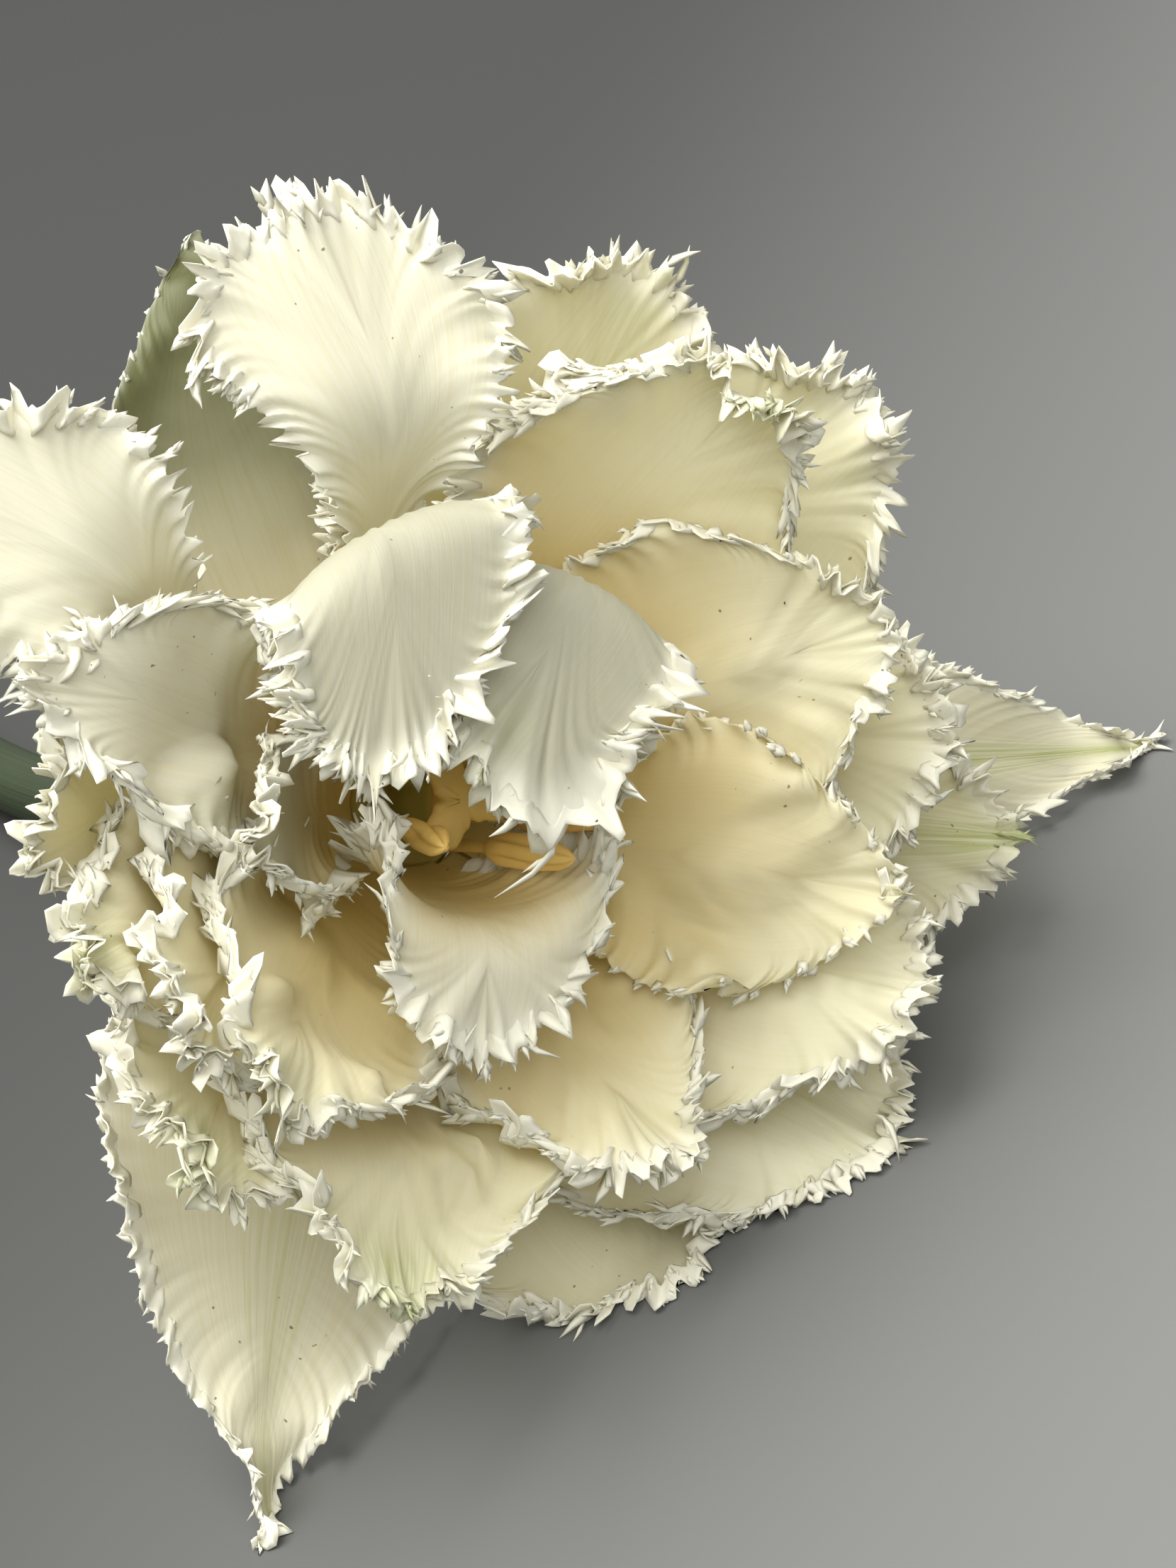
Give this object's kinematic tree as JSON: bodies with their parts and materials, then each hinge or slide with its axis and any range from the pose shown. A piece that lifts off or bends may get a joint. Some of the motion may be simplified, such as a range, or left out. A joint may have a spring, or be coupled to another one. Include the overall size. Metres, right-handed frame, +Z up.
{
  "type": "cut tulip flower",
  "caption": "Double fringed tulip in cream white, cut with its stem and lying down: fringed petals in whorls, pointed outer tepals, golden stamens, green pistil and stem.",
  "frame": {"origin": "on the surface that the flower lies on, in the flat spot under the lowest cup petal", "axes": "+Z up, +Y from the bloom along the lying stem towards its cut end, +X to the right of a viewer who looks into the bloom"},
  "size_m": [0.1254, 0.2503, 0.0991],
  "materials": {
    "petal": "cream-white petal tissue: satin, finely ribbed, warm yellow towards the heart, green along some midribs",
    "stem": "smooth dark green stem with a dull waxy bloom and fine lengthwise lines",
    "pistil": "olive-green ovary with a paler yellowish stigma, matte",
    "stamen": "golden-orange filaments and anthers, matte and slightly grainy"
  },
  "bodies": {
    "root": {"tepal_right": "petal", "tepal_lower": "petal", "tepal_upper": "petal", "petal_b_top": "petal", "petal_b_left": "petal", "petal_b_low": "petal", "petal_c_right": "petal", "petal_c_fan": "petal", "petal_c_low": "petal", "petal_d_top": "petal", "petal_d_left": "petal", "petal_d_low": "petal", "petal_e_fan": "petal", "petal_e_low": "petal", "petal_e_right": "petal", "petal_f_left": "petal", "petal_f_right": "petal", "petal_f_top": "petal", "petal_g_low": "petal", "petal_g_side": "petal", "petal_g_right": "petal", "petal_h_low": "petal", "petal_h_hood": "petal", "petal_h_right": "petal", "petal_i_left": "petal", "petal_i_hood": "petal", "petal_i_low": "petal", "petal_i_small": "petal", "stamen_1": "stamen", "stamen_2": "stamen", "stamen_3": "stamen", "stamen_4": "stamen", "stamen_5": "stamen", "stamen_6": "stamen", "stem": "stem", "pistil": "pistil"}
  },
  "joints": []
}
